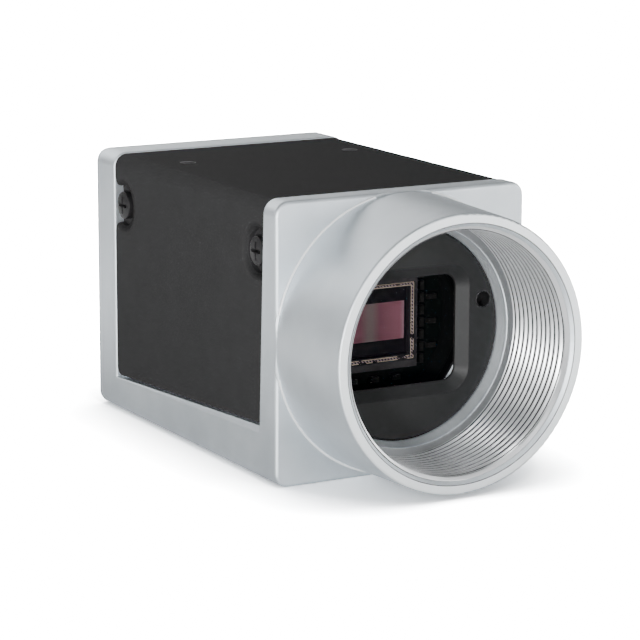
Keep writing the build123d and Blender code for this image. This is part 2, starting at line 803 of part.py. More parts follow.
# Spacers, and the four long screws that hold the stack to the housing's standoffs
with BuildPart() as sensor_board_spacers:
    spacers(sensor_board_back, processor_front)
sensor_board_spacers.part.label = "sensor_board_spacers"
export_step(sensor_board_spacers.part, "parts/sensor_board_spacers.step")
with BuildPart() as processor_board_spacers:
    spacers(processor_back, interface_front)
processor_board_spacers.part.label = "processor_board_spacers"
export_step(processor_board_spacers.part, "parts/processor_board_spacers.step")
with BuildPart() as board_screws:
    rod(stack_screw_radius, sensor_board_front - stack_screw_bite + stack_screw_gap, interface_back,
        standoffs)
    rod(stack_head_radius, interface_back, interface_back + stack_head_height, standoffs)
board_screws.part.label = "board_screws"
export_step(board_screws.part, "parts/board_screws.step")

# Network jack: metal shell, plastic insert with the plug's cavity, and the contacts
with BuildPart() as network_jack_shell:
    bar(jack_width, jack_height, interface_back, jack_mouth, z=jack_z)
    bar(jack_inner_width, jack_inner_height, interface_back, jack_mouth, z=jack_z, mode=Mode.SUBTRACT)
network_jack_shell.part.label = "network_jack_shell"
export_step(network_jack_shell.part, "parts/network_jack_shell.step")
with BuildPart() as network_jack_insert:
    bar(jack_inner_width, jack_inner_height, interface_back, jack_mouth - jack_wall, z=jack_z)
    bar(plug_width, plug_height, plug_end, jack_mouth, z=plug_z, mode=Mode.SUBTRACT)
    bar(latch_width, latch_height, plug_end, jack_mouth, z=latch_z, mode=Mode.SUBTRACT)
network_jack_insert.part.label = "network_jack_insert"
export_step(network_jack_insert.part, "parts/network_jack_insert.step")
with BuildPart() as network_jack_contacts:
    for index in range(contact_count):
        bar(contact_width, contact_thickness, plug_end, plug_end + contact_length,
            (index - (contact_count - 1) / 2) * contact_pitch, contact_z)
network_jack_contacts.part.label = "network_jack_contacts"
export_step(network_jack_contacts.part, "parts/network_jack_contacts.step")

# Round connector: shell through the rear wall, nut inside, insert that reaches the board, and pins
with BuildPart() as io_connector_shell:
    rod(io_thread_radius, io_back, body_rear, [(io_x, io_z)])
    rod(io_shell_radius, body_rear, io_mouth, [(io_x, io_z)])
    rod(io_flange_radius, body_rear, body_rear + io_flange_thickness, [(io_x, io_z)])
    rod(io_bore_radius, io_back, io_mouth, [(io_x, io_z)], mode=Mode.SUBTRACT)
io_connector_shell.part.label = "io_connector_shell"
export_step(io_connector_shell.part, "parts/io_connector_shell.step")
with BuildPart() as io_connector_nut:
    with BuildSketch(station(wall_inside - io_nut_thickness)):
        with Locations((io_x, io_z)):
            RegularPolygon(io_nut_flats / 2, 6, major_radius=False)
            Circle(io_thread_radius + io_hole_gap / 2, mode=Mode.SUBTRACT)
    extrude(amount=-io_nut_thickness)
io_connector_nut.part.label = "io_connector_nut"
export_step(io_connector_nut.part, "parts/io_connector_nut.step")
with BuildPart() as io_pin_pattern:
    with BuildSketch(station(interface_back)):
        with Locations((io_x, io_z)):
            with PolarLocations(io_pin_circle_radius, io_pin_count):
                Circle(io_pin_radius)
    extrude(amount=interface_back - io_face - io_pin_reach)
with BuildPart() as io_connector_insert:
    rod(io_bore_radius, io_back, io_face, [(io_x, io_z)])
    rod(io_bore_radius - io_body_step, interface_back, io_back, [(io_x, io_z)])
    add(io_pin_pattern.part, mode=Mode.SUBTRACT)
io_connector_insert.part.label = "io_connector_insert"
export_step(io_connector_insert.part, "parts/io_connector_insert.step")
with BuildPart() as io_connector_pins:
    add(io_pin_pattern.part)
io_connector_pins.part.label = "io_connector_pins"
export_step(io_connector_pins.part, "parts/io_connector_pins.step")

# Status light: a light emitter on the interface board and a clear pipe to the rear face
with BuildPart() as status_led:
    bar(led_size, led_size, interface_back, interface_back + led_height, light_x, light_z)
status_led.part.label = "status_led"
export_step(status_led.part, "parts/status_led.step")
with BuildPart() as status_light_pipe:
    rod(light_radius, interface_back + led_height, body_rear + light_proud, [(light_x, light_z)])
status_light_pipe.part.label = "status_light_pipe"
export_step(status_light_pipe.part, "parts/status_light_pipe.step")
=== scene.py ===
"""Looks of a machine vision camera: its lens thread, its beads (one painted near-white as a highlight), finishes,
studio and camera.
"""

import json
import logging
import math
from collections.abc import Sequence
from dataclasses import dataclass
from enum import Enum

import bmesh
import bpy
from mathutils import Matrix, Vector


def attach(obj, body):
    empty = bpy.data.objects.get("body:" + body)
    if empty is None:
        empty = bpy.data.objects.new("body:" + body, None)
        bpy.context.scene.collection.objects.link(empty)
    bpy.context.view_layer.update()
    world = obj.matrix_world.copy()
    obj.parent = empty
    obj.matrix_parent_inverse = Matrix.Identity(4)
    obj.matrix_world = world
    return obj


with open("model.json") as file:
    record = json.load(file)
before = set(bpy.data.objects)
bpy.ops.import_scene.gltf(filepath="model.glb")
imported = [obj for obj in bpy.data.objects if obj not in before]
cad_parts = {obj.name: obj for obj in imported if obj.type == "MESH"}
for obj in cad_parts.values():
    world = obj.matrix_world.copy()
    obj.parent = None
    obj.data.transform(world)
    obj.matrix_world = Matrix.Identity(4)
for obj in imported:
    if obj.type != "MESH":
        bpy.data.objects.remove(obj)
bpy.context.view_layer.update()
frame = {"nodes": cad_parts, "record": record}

log = logging.getLogger("camera")
MM = 0.001
MERGE_WITHIN = 1e-4
CUT_WITHIN = 1e-6
FULL_TURN = 2 * math.pi
Point = tuple[float, float, float]
Colour = tuple[float, float, float, float]


class Grain(Enum):
    """Which procedural texture roughens a surface."""

    NOISE = "ShaderNodeTexNoise"
    CELLS = "ShaderNodeTexVoronoi"


def grey(value: float) -> Colour:
    """A neutral colour of one linear brightness."""
    return (value, value, value, 1.0)


class Signal:
    """A value in a node tree, which Python's operators combine through Math nodes."""

    def __init__(self, graph: "Graph", socket: bpy.types.NodeSocket) -> None:
        """Keeps the tree's graph and the output that carries the value."""
        self.graph = graph
        self.socket = socket

    def _math(self, operation: str, first: "Signal | float", second: "Signal | float") -> "Signal":
        """Adds one Math node.

        Args:
            operation: the Math node's operation.
            first: its first input.
            second: its second input.

        Returns:
            The node's result.
        """
        return self.graph.node("ShaderNodeMath", {"operation": operation}, {0: first, 1: second})

    def __add__(self, other: "Signal | float") -> "Signal":
        """Sum."""
        return self._math("ADD", self, other)

    __radd__ = __add__

    def __sub__(self, other: "Signal | float") -> "Signal":
        """Difference."""
        return self._math("SUBTRACT", self, other)

    def __rsub__(self, other: float) -> "Signal":
        """Difference from a number."""
        return self._math("SUBTRACT", other, self)

    def __mul__(self, other: "Signal | float") -> "Signal":
        """Product."""
        return self._math("MULTIPLY", self, other)

    __rmul__ = __mul__

    def __truediv__(self, other: "Signal | float") -> "Signal":
        """Quotient."""
        return self._math("DIVIDE", self, other)

    def __gt__(self, other: "Signal | float") -> "Signal":
        """One where this value is the greater, and zero elsewhere."""
        return self._math("GREATER_THAN", self, other)

    def __lt__(self, other: "Signal | float") -> "Signal":
        """One where this value is the lesser, and zero elsewhere."""
        return self._math("LESS_THAN", self, other)

    def __abs__(self) -> "Signal":
        """Size without its sign."""
        return self._math("ABSOLUTE", self, 0.0)


class Graph:
    """A node tree under construction."""

    def __init__(self, tree: bpy.types.NodeTree) -> None:
        """Keeps the tree."""
        self.tree = tree

    def node(self, kind: str, settings: dict | None = None, inputs: dict | None = None,
             output: int | str = 0) -> Signal:
        """Adds one node.

        Args:
            kind: the node's type.
            settings: its own settings, or "stops" for a colour ramp's positions and colours.
            inputs: values or signals for its sockets, by name or number.
            output: the output to hand back.

        Returns:
            The chosen output.
        """
        made = self.tree.nodes.new(kind)
        for name, value in (settings or {}).items():
            if name == "stops":
                ramp = made.color_ramp
                for place, _ in value[2:]:
                    ramp.elements.new(place)
                for element, (place, colour) in zip(ramp.elements, sorted(value)):
                    element.position = place
                    element.color = colour
            else:
                setattr(made, name, value)
        for name, value in (inputs or {}).items():
            if isinstance(value, Signal):
                self.link(value, made.inputs[name])
            else:
                made.inputs[name].default_value = value
        return Signal(self, made.outputs[output])

    def link(self, signal: Signal, socket: bpy.types.NodeSocket) -> None:
        """Feeds a signal to a socket."""
        self.tree.links.new(signal.socket, socket)

    def split(self, vector: Signal) -> tuple[Signal, Signal, Signal]:
        """The X, Y and Z of a vector, as three signals."""
        outputs = self.node("ShaderNodeSeparateXYZ", inputs={0: vector}).socket.node.outputs
        return Signal(self, outputs[0]), Signal(self, outputs[1]), Signal(self, outputs[2])

    def larger(self, one: "Signal | float", other: "Signal | float") -> Signal:
        """The larger of two values."""
        return self.node("ShaderNodeMath", {"operation": "MAXIMUM"}, {0: one, 1: other})

    def root(self, signal: Signal) -> Signal:
        """Square root of a signal."""
        return self.node("ShaderNodeMath", {"operation": "SQRT"}, {0: signal})

    def fraction(self, signal: Signal) -> Signal:
        """What a signal holds past its whole part."""
        return self.node("ShaderNodeMath", {"operation": "FRACT"}, {0: signal})

    def span(self, signal: Signal, low: float, high: float, first: float = 0.0, last: float = 1.0) -> Signal:
        """Eases from one value to another as a signal goes from low to high.

        Args:
            signal: the signal.
            low: where the result is still the first value.
            high: where the result has reached the last value.
            first: the first value.
            last: the last value.

        Returns:
            The eased value.
        """
        return self.node(
            "ShaderNodeMapRange", {"interpolation_type": "SMOOTHSTEP"},
            {"Value": signal, "From Min": low, "From Max": high, "To Min": first, "To Max": last},
        )


class Paint(Graph):
    """One material under construction: its nodes, and the sockets of its surface shader."""

    CORNER_SAMPLES = 6
    WEAR_STARTS = 0.02
    WEAR_IS_FULL = 0.2

    def __init__(self, name: str) -> None:
        """Starts a material with an empty surface shader.

        Args:
            name: the material's name.
        """
        self.material = bpy.data.materials.new(name)
        self.material.use_nodes = True
        super().__init__(self.material.node_tree)
        self.shader = next(n for n in self.tree.nodes if n.type == "BSDF_PRINCIPLED")
        self.output = next(n for n in self.tree.nodes if n.type == "OUTPUT_MATERIAL")

    def set(self, **sockets: "Signal | float | Colour") -> None:
        """Gives values or signals to the surface shader, with underscores for the spaces in its sockets' names."""
        for name, value in sockets.items():
            socket = self.shader.inputs[name.replace("_", " ")]
            if isinstance(value, Signal):
                self.link(value, socket)
            else:
                socket.default_value = value

    def place(self, scale: Point = (1, 1, 1)) -> Signal:
        """The object's own coordinates in millimetres.

        Args:
            scale: stretch along each axis, after the change to millimetres.

        Returns:
            The coordinates as a vector signal.
        """
        where = self.node("ShaderNodeTexCoord", output="Object")
        size = tuple(part / MM for part in scale)
        return self.node("ShaderNodeMapping", inputs={"Vector": where, "Scale": size})

    def axes(self) -> tuple[Signal, Signal, Signal]:
        """The object's X, Y and Z in millimetres, as three signals."""
        return self.split(self.place())

    def texture(self, grain: Grain, size: float, detail: float = 2.0, stretch: Point = (1, 1, 1)) -> Signal:
        """A procedural texture from 0 to 1.

        Args:
            grain: the kind of texture.
            size: the width of its features, in millimetres.
            detail: finer layers over it, for noise.
            stretch: scale along each axis.

        Returns:
            The texture's value.
        """
        inputs = {"Vector": self.place(stretch), "Scale": 1 / size}
        if grain is Grain.NOISE:
            inputs["Detail"] = detail
        return self.node(grain.value, inputs=inputs)

    def ramp(self, signal: Signal, stops: Sequence[tuple[float, Colour]]) -> Signal:
        """Colours a signal by a ramp of positions and colours."""
        return self.node("ShaderNodeValToRGB", {"stops": list(stops)}, {"Fac": signal})

    def mix(self, share: Signal, first: "Signal | Colour", second: "Signal | Colour") -> Signal:
        """Mixes two colours by a share from 0 to 1.

        Args:
            share: how much of the second colour.
            first: the colour at share 0.
            second: the colour at share 1.

        Returns:
            The mixed colour.
        """
        return self.node("ShaderNodeMix", {"data_type": "RGBA"}, {0: share, 6: first, 7: second}, output=2)

    def bump(self, height: Signal, depth: float, strength: float = 1.0, over: Signal | None = None) -> None:
        """Raises the surface's shading.

        Args:
            height: the relief, from 0 to 1.
            depth: how far 1 stands above 0, in millimetres.
            strength: the bump's share.
            over: the normal that the relief stands on, if not the surface's own.
        """
        inputs = {"Height": height, "Distance": depth * MM, "Strength": strength}
        if over is not None:
            inputs["Normal"] = over
        self.set(Normal=self.node("ShaderNodeBump", inputs=inputs))

    def tilt(self, axis: Point, slope: Signal) -> None:
        """Tilts the surface's normal along one axis, as the rounding of a fine crest does.

        Args:
            axis: the axis.
            slope: how far the normal leans along it, as a slope.
        """
        normal = self.node("ShaderNodeNewGeometry", output="Normal")
        lean = self.node("ShaderNodeVectorMath", {"operation": "SCALE"}, {0: axis, "Scale": slope})
        total = self.node("ShaderNodeVectorMath", {"operation": "ADD"}, {0: normal, 1: lean})
        self.set(Normal=self.node("ShaderNodeVectorMath", {"operation": "NORMALIZE"}, {0: total}))

    def radius(self) -> Signal:
        """Distance from the optical axis, in millimetres."""
        x, _, z = self.axes()
        return self.root(x * x + z * z)

    def rounded(self, radius: float) -> Signal:
        """The surface's normal with its corners rounded off by a radius in millimetres."""
        return self.node("ShaderNodeBevel", {"samples": self.CORNER_SAMPLES}, {"Radius": radius * MM})

    def edges(self, rounded: Signal) -> Signal:
        """Share of wear at a piece's outer and inner corners.

        Args:
            rounded: the normal with its corners rounded off.

        Returns:
            The wear, from 0 on a flat to 1 on a sharp corner.
        """
        flat = self.node("ShaderNodeNewGeometry", output="Normal")
        same = self.node("ShaderNodeVectorMath", {"operation": "DOT_PRODUCT"}, {0: rounded, 1: flat}, "Value")
        return self.span(1.0 - same, self.WEAR_STARTS, self.WEAR_IS_FULL)


@dataclass(frozen=True)
class SatinCasting:
    """Satin silver of the casting: fine blasted grain under a faint cool mottling.

    The mount's front face and the taper in its bore are machined brighter. A fine line of painted shade rounds the
    bore's mouth, the shoulder behind the thread is painted darker as shade, and the bore behind the window is
    painted near-black as shade but for its front edge. This painted shade has no far end, so it also shows as a
    disc on the rear plate's outer face, which is a fault.
    """

    colour: Colour = (0.61, 0.66, 0.70, 1.0)
    pale: Colour = (0.78, 0.825, 0.86, 1.0)
    machined: Colour = (0.90, 0.94, 0.96, 1.0)
    # painted shade on the shoulder behind the thread
    shoulder_shade: Colour = (0.26, 0.27, 0.28, 1.0)
    shoulder_front: float = 9.95
    shoulder_back: float = 11.3
    shoulder_radius: float = 11.58
    bore_radius: float = 12.7
    taper_radius: float = 11.45
    taper_share: float = 0.5
    # painted shade for the fine line round the bore's mouth
    shade: Colour = (0.16, 0.165, 0.17, 1.0)
    # near-black painted shade for the bore behind the window
    recess_shade: Colour = (0.012, 0.012, 0.013, 1.0)
    face_radius: float = 13.06
    face_depth: float = 0.03
    mouth_shade_line: float = 0.05
    mouth_shade_depth: float = 0.2
    # where the painted shade in the bore behind the window lies, and the thin band at its front edge it leaves bare
    recess_shade_radius: float = 8.9
    recess_shade_front: float = 11.9
    recess_shade_edge: float = 13.98
    recess_shade_edge_gap: float = 0.1
    edge_radius: float = 0.16
    edge_wear: float = 0.8
    edge_polish: float = 0.12
    roughness: float = 0.42
    metallic: float = 0.9
    mottling: float = 4.0
    mottling_detail: float = 4.0
    mottling_roughness: float = 0.10
    grain: float = 0.11
    grain_detail: float = 3.0
    grain_roughness: float = 0.06
    grain_depth: float = 0.012
    grain_strength: float = 0.35

    def make(self, name: str) -> bpy.types.Material:
        """Builds the material and returns it."""
        paint = Paint(name)
        clouds = paint.texture(Grain.NOISE, self.mottling, self.mottling_detail)
        fine = paint.texture(Grain.NOISE, self.grain, self.grain_detail)
        radius = paint.radius()
        _, along, _ = paint.axes()
        face = (along < self.face_depth) * (radius > self.face_radius)
        # painted shade: a fine dark line round the bore's mouth
        line = (along < self.mouth_shade_depth) * (abs(radius - self.face_radius) < self.mouth_shade_line)
        off_edge = abs(along - self.recess_shade_edge) > self.recess_shade_edge_gap
        # painted shade: the bore behind the window goes near-black, but for a thin band at its front edge
        inner = (radius < self.recess_shade_radius) * (along > self.recess_shade_front) * off_edge
        behind = (along > self.shoulder_front) * (along < self.shoulder_back) * (radius < self.bore_radius)
        taper = behind * (radius < self.taper_radius) * self.taper_share
        soft = paint.rounded(self.edge_radius)
        worn = paint.edges(soft) * self.edge_wear
        cast = paint.mix(face, paint.mix(clouds, self.colour, self.pale), self.machined)
        cast = paint.mix(paint.larger(worn, taper), cast, self.machined)
        # painted shade: the shoulder behind the thread is darkened
        cast = paint.mix(behind * (radius > self.shoulder_radius), cast, self.shoulder_shade)
        uneven = self.mottling_roughness * clouds + self.grain_roughness * fine
        paint.set(
            Base_Color=paint.mix(inner, paint.mix(line, cast, self.shade), self.recess_shade),
            Metallic=self.metallic,
            Roughness=self.roughness + uneven - self.edge_polish * worn,
        )
        paint.bump(fine, self.grain_depth, self.grain_strength, over=soft)
        return paint.material


@dataclass(frozen=True)
class CutThread:
    """Satin silver of the cut thread: each land is rounded off towards the mouth, and the grooves are painted
    near-black as shade.

    Each land's place is counted in turns from the first groove, and whole turns are added to keep it above zero.
    """

    colour: Colour = (0.50, 0.515, 0.53, 1.0)
    pale: Colour = (0.58, 0.59, 0.60, 1.0)
    # painted shade for the thread's grooves
    groove: Colour = (0.03, 0.031, 0.033, 1.0)
    crest: float = 12.3
    cone: float = 13.05
    shallow: float = 0.012
    roughness: float = 0.23
    metallic: float = 0.8
    groove_metallic: float = 0.32
    groove_roughness: float = 0.35
    mottling: float = 1.5
    mottling_detail: float = 3.0
    mottling_roughness: float = 0.08
    mark: float = 0.03
    mark_detail: float = 1.0
    mark_stretch: Point = (0.02, 1.0, 0.02)
    mark_roughness: float = 0.06
    pitch: float = 0.79375
    first_groove: float = 1.7
    whole_turns: float = 40.0
    lean_front: float = -1.9
    lean_back: float = -0.55

    def make(self, name: str) -> bpy.types.Material:
        """Builds the material and returns it."""
        paint = Paint(name)
        marks = paint.texture(Grain.NOISE, self.mark, self.mark_detail, self.mark_stretch)
        clouds = paint.texture(Grain.NOISE, self.mottling, self.mottling_detail)
        radius = paint.radius()
        x, along, z = paint.axes()
        turn = paint.node("ShaderNodeMath", {"operation": "ARCTAN2"}, {0: z * -1.0, 1: x}) / FULL_TURN
        share = paint.fraction((along - self.first_groove) / self.pitch - turn + self.whole_turns)
        grooved = paint.span(along, self.first_groove - self.pitch, self.first_groove)
        share = 0.5 + (share - 0.5) * grooved
        cut = (radius > self.crest + self.shallow) * (radius + along > self.cone + self.shallow)
        land = paint.mix(clouds, self.colour, self.pale)
        uneven = self.mottling_roughness * clouds + self.mark_roughness * marks
        paint.set(
            # painted shade: the grooves are near-black
            Base_Color=paint.mix(cut, land, self.groove),
            Metallic=self.metallic - (self.metallic - self.groove_metallic) * cut,
            Roughness=self.roughness + uneven + self.groove_roughness * cut,
        )
        paint.tilt((0.0, 1.0, 0.0), self.lean_front + (self.lean_back - self.lean_front) * share)
        return paint.material


@dataclass(frozen=True)
class PowderCoat:
    """Matt coat with a fine pebbled surface.

    It is drawn in round the screw seats, paler along its edges and bare round the tapped holes in the top.
    """

    colour: Colour = (0.030, 0.030, 0.0305, 1.0)
    worn: Colour = (0.038, 0.038, 0.039, 1.0)
    edge: Colour = (0.07, 0.07, 0.072, 1.0)
    bare: Colour = (0.16, 0.16, 0.165, 1.0)
    holes: tuple[tuple[float, float], ...] = ((-10.0, 39.95), (10.0, 39.95))
    hole_radius: float = 0.8
    hole_rim: float = 0.08
    top_z: float = 14.0
    edge_radius: float = 0.15
    edge_wear: float = 0.7
    edge_polish: float = 0.12
    roughness: float = 0.62
    gloss: float = 0.02
    mottling: float = 3.0
    mottling_detail: float = 3.0
    mottling_roughness: float = 0.08
    pebble: float = 0.16
    pebble_depth: float = 0.0075
    seats: tuple[tuple[float, float], ...] = ((16.22, 8.97), (47.22, 8.97))
    seat_radius: float = 2.2
    seat_flare: float = 0.8
    seat_depth: float = 0.6

    def make(self, name: str) -> bpy.types.Material:
        """Builds the material and returns it."""
        paint = Paint(name)
        pebbles = paint.texture(Grain.CELLS, self.pebble)
        clouds = paint.texture(Grain.NOISE, self.mottling, self.mottling_detail)
        across, along, up = paint.axes()
        bared = 0.0
        for hole_x, hole_y in self.holes:
            away = paint.root((across - hole_x) * (across - hole_x) + (along - hole_y) * (along - hole_y))
            bared = bared + (away < self.hole_radius + self.hole_rim) * (up > self.top_z)
        pressed = 1.0
        for seat_y, seat_z in self.seats:
            away = paint.root((along - seat_y) * (along - seat_y) + (up - seat_z) * (up - seat_z))
            pressed = pressed * paint.span(away, self.seat_radius, self.seat_radius + self.seat_flare)
        height = pressed * self.seat_depth + pebbles * self.pebble_depth
        soft = paint.rounded(self.edge_radius)
        worn = paint.edges(soft) * self.edge_wear
        coat = paint.mix(worn, paint.mix(clouds, self.colour, self.worn), self.edge)
        paint.set(
            Base_Color=paint.mix(bared, coat, self.bare),
            Roughness=self.roughness + self.mottling_roughness * clouds - self.edge_polish * worn,
            Specular_IOR_Level=self.gloss,
        )
        paint.bump(height, 1.0, over=soft)
        return paint.material


@dataclass(frozen=True)
class Moulding:
    """Moulded or ceramic body: a plain tint, a soft mottling and a fine grain."""

    colour: Colour = (0.02, 0.02, 0.02, 1.0)
    other: Colour = (0.03, 0.03, 0.03, 1.0)
    roughness: float = 0.5
    metallic: float = 0.0
    patch: float = 1.5
    patch_detail: float = 4.0
    patch_roughness: float = 0.08
    grain: float = 0.08
    grain_detail: float = 2.0
    depth: float = 0.006
    grain_strength: float = 0.5
    gloss: float = 0.5

    def make(self, name: str) -> bpy.types.Material:
        """Builds the material and returns it."""
        paint = Paint(name)
        clouds = paint.texture(Grain.NOISE, self.patch, self.patch_detail)
        fine = paint.texture(Grain.NOISE, self.grain, self.grain_detail)
        paint.set(
            Base_Color=paint.mix(clouds, self.colour, self.other),
            Roughness=self.roughness + self.patch_roughness * clouds,
            Metallic=self.metallic,
            Specular_IOR_Level=self.gloss,
        )
        paint.bump(fine, self.depth, self.grain_strength)
        return paint.material


@dataclass(frozen=True)
class TurnedMetal:
    """Turned or drawn metal, with fine rings along Y."""

    colour: Colour = (0.55, 0.55, 0.56, 1.0)
    bright: Colour = (0.72, 0.72, 0.72, 1.0)
    roughness: float = 0.26
    ring: float = 0.06
    ring_detail: float = 2.0
    ring_stretch: Point = (0.05, 1.0, 0.05)
    ring_roughness: float = 0.12
    ring_depth: float = 0.004
    ring_strength: float = 0.4

    def make(self, name: str) -> bpy.types.Material:
        """Builds the material and returns it."""
        paint = Paint(name)
        rings = paint.texture(Grain.NOISE, self.ring, self.ring_detail, self.ring_stretch)
        paint.set(
            Base_Color=paint.mix(rings, self.colour, self.bright),
            Metallic=1.0,
            Roughness=self.roughness + self.ring_roughness * rings,
        )
        paint.bump(rings, self.ring_depth, self.ring_strength)
        return paint.material


@dataclass(frozen=True)
class ClearPane:
    """Clear glass or plastic: nearly unseen face on and milky at a glance, with no sheen where it is coated."""

    tint: Colour = (0.0, 0.002, 0.004, 1.0)
    gloss: float = 0.02
    face_on: float = 0.05
    grazing: float = 0.5
    sheen: float = 0.0
    turn_blend: float = 0.2
    smear: float = 2.5
    smear_detail: float = 2.0
    smear_roughness: float = 0.03

    def make(self, name: str) -> bpy.types.Material:
        """Builds the material and returns it."""
        paint = Paint(name)
        smear = paint.texture(Grain.NOISE, self.smear, self.smear_detail)
        facing = paint.node("ShaderNodeLayerWeight", inputs={"Blend": self.turn_blend}, output="Facing")
        paint.set(
            Base_Color=self.tint,
            Roughness=self.gloss + self.smear_roughness * smear,
            Alpha=self.face_on + (self.grazing - self.face_on) * facing,
            Specular_IOR_Level=self.sheen,
        )
        return paint.material


@dataclass(frozen=True)
class ImageChip:
    """Face of the image sensor: the light-sensitive area inside a dark border."""

    half_width: float = 3.69
    half_height: float = 2.0
    rose: Colour = (0.305, 0.123, 0.16, 1.0)
    slate: Colour = (0.31, 0.215, 0.22, 1.0)
    pale: Colour = (0.34, 0.24, 0.28, 1.0)
    rim: float = 0.5
    rim_share: float = 0.5
    roughness: float = 0.32
    gloss: float = 0.12
    row: float = 0.05
    row_detail: float = 1.0
    row_stretch: Point = (0.2, 1.0, 1.0)
    row_roughness: float = 0.06
    reach: float = 4.0
    slate_band: tuple[float, float, float, float] = (0.31, 0.42, 0.49, 0.60)
    border: Colour = (0.012, 0.009, 0.013, 1.0)

    def make(self, name: str) -> bpy.types.Material:
        """Builds the material and returns it."""
        paint = Paint(name)
        x, _, z = paint.axes()
        inside = (abs(x) < self.half_width) * (abs(z) < self.half_height)
        start, full, fading, end = self.slate_band
        band = paint.ramp(
            (x + self.reach) / (2 * self.reach),
            [(0.0, self.rose), (1.0, self.rose), (start, self.rose), (full, self.slate), (fading, self.slate),
             (end, self.rose)],
        )
        rows = paint.texture(Grain.NOISE, self.row, self.row_detail, self.row_stretch)
        rim = paint.span(abs(x), self.half_width - self.rim, self.half_width) * self.rim_share
        band = paint.mix(rim, band, self.pale)
        paint.set(
            Base_Color=paint.mix(inside, self.border, band),
            Roughness=self.roughness + self.row_roughness * rows,
            Specular_IOR_Level=self.gloss,
        )
        return paint.material


@dataclass(frozen=True)
class BondFrame:
    """Frame under the chip's glass: thin gold lines and a row of bond pads on dark ceramic."""

    half_width: float = 4.45
    half_height: float = 4.075
    ceramic: Colour = (0.012, 0.009, 0.010, 1.0)
    gold: Colour = (0.80, 0.66, 0.52, 1.0)
    pad: Colour = (0.46, 0.36, 0.38, 1.0)
    outer_line: float = 0.06
    inner_line: float = 0.36
    line: float = 0.032
    line_wear: float = 0.31
    low_line_wear: float = 0.13
    low_edge: float = -1.0
    pad_row: float = 0.21
    pad_pitch: float = 0.36
    pad_start: float = 20.0
    pad_half_width: float = 0.07
    pad_share: float = 0.5
    pad_wear: float = 0.38
    pad_polish: float = 0.1
    wear_patch: float = 0.9
    wear_detail: float = 2.0
    roughness: float = 0.42
    gloss: float = 0.2
    line_metallic: float = 0.5

    def make(self, name: str) -> bpy.types.Material:
        """Builds the material and returns it."""
        paint = Paint(name)
        x, _, z = paint.axes()
        across = paint.node("ShaderNodeMath", {"operation": "MINIMUM"},
                            {0: self.half_width - abs(x), 1: self.half_height - abs(z)})
        lines = (abs(across - self.outer_line) < self.line) + (abs(across - self.inner_line) < self.line)
        steps = paint.fraction((x + z + self.pad_start) / self.pad_pitch)
        worn = paint.texture(Grain.NOISE, self.wear_patch, self.wear_detail)
        in_row = abs(across - self.pad_row) < self.pad_half_width
        pads = in_row * (steps < self.pad_share) * (worn > self.pad_wear)
        gilt = lines * (worn > self.line_wear + self.low_line_wear * (z < self.low_edge))
        paint.set(
            Base_Color=paint.mix(pads, paint.mix(gilt, self.ceramic, self.gold), self.pad),
            Roughness=self.roughness - self.pad_polish * pads,
            Metallic=self.line_metallic * lines,
            Specular_IOR_Level=self.gloss,
        )
        return paint.material


@dataclass(frozen=True)
class BoardMask:
    """Solder mask over copper tracks, with a fine weave."""

    colour: Colour = (0.0035, 0.0045, 0.004, 1.0)
    track: Colour = (0.006, 0.008, 0.007, 1.0)
    track_scale: float = 0.8
    track_place: float = 0.55
    track_half_width: float = 0.06
    track_height: float = 0.02
    track_strength: float = 0.5
    track_roughness: float = 0.1
    roughness: float = 0.4
    gloss: float = 0.12

    def make(self, name: str) -> bpy.types.Material:
        """Builds the material and returns it."""
        paint = Paint(name)
        cells = paint.node("ShaderNodeTexVoronoi", {"distance": "MANHATTAN", "feature": "F2"},
                           {"Vector": paint.place(), "Scale": self.track_scale})
        tracks = abs(cells - self.track_place) < self.track_half_width
        paint.set(
            Base_Color=paint.mix(tracks, self.colour, self.track),
            Roughness=self.roughness + self.track_roughness * tracks,
            Specular_IOR_Level=self.gloss,
        )
        paint.bump(tracks, self.track_height, self.track_strength)
        return paint.material


Finish = (SatinCasting | CutThread | PowderCoat | Moulding | TurnedMetal | ClearPane | ImageChip | BondFrame
          | BoardMask)

FINISHES: dict[str, Finish] = {
    "satin_silver_housing": SatinCasting(),
    "black_powder_coat": PowderCoat(),
    "black_screws": Moulding((0.010, 0.010, 0.0105, 1), (0.018, 0.018, 0.019, 1), 0.42, depth=0.004, gloss=0.22),
    "black_anodised_holder": Moulding((0.009, 0.0095, 0.010, 1), (0.014, 0.0145, 0.015, 1), 0.44, grain=0.07,
                                      depth=0.008, gloss=0.24),
    "filter_glass": ClearPane(),
    "rubber_seal": Moulding((0.002, 0.002, 0.002, 1), (0.004, 0.004, 0.004, 1), 0.7, gloss=0.15),
    "ceramic_package": Moulding((0.019, 0.0165, 0.019, 1), (0.027, 0.024, 0.0265, 1), 0.5),
    "sensor_chip": ImageChip(),
    "lid_glass": ClearPane(face_on=0.03),
    "gold_ring": BondFrame(),
    "circuit_board": BoardMask(),
    "soldered_parts": Moulding((0.006, 0.0055, 0.005, 1), (0.016, 0.015, 0.014, 1), 0.35),
    "steel_spacers": TurnedMetal(),
    "connector_plastic": Moulding(),
    "chip_plastic": Moulding((0.014, 0.014, 0.015, 1), (0.022, 0.022, 0.023, 1), 0.42),
    "steel_screws": TurnedMetal(bright=(0.66, 0.68, 0.72, 1)),
    "jack_shield": TurnedMetal((0.58, 0.58, 0.58, 1), (0.68, 0.68, 0.67, 1), 0.3),
    "jack_plastic": Moulding((0.010, 0.010, 0.011, 1), (0.016, 0.016, 0.017, 1), 0.36),
    "gold_contacts": TurnedMetal((0.72, 0.47, 0.16, 1), (0.85, 0.6, 0.25, 1), 0.2),
    "nickel_shell": TurnedMetal((0.52, 0.51, 0.48, 1), (0.66, 0.65, 0.61, 1), 0.22),
    "nickel_nut": TurnedMetal((0.50, 0.49, 0.46, 1), (0.6, 0.59, 0.56, 1), 0.24),
    "led_resin": Moulding((0.6, 0.6, 0.5, 1), (0.7, 0.7, 0.62, 1), 0.2),
    "clear_light_pipe": ClearPane((0.35, 0.42, 0.38, 1), 0.08, 0.45, 0.8, sheen=0.4),
}


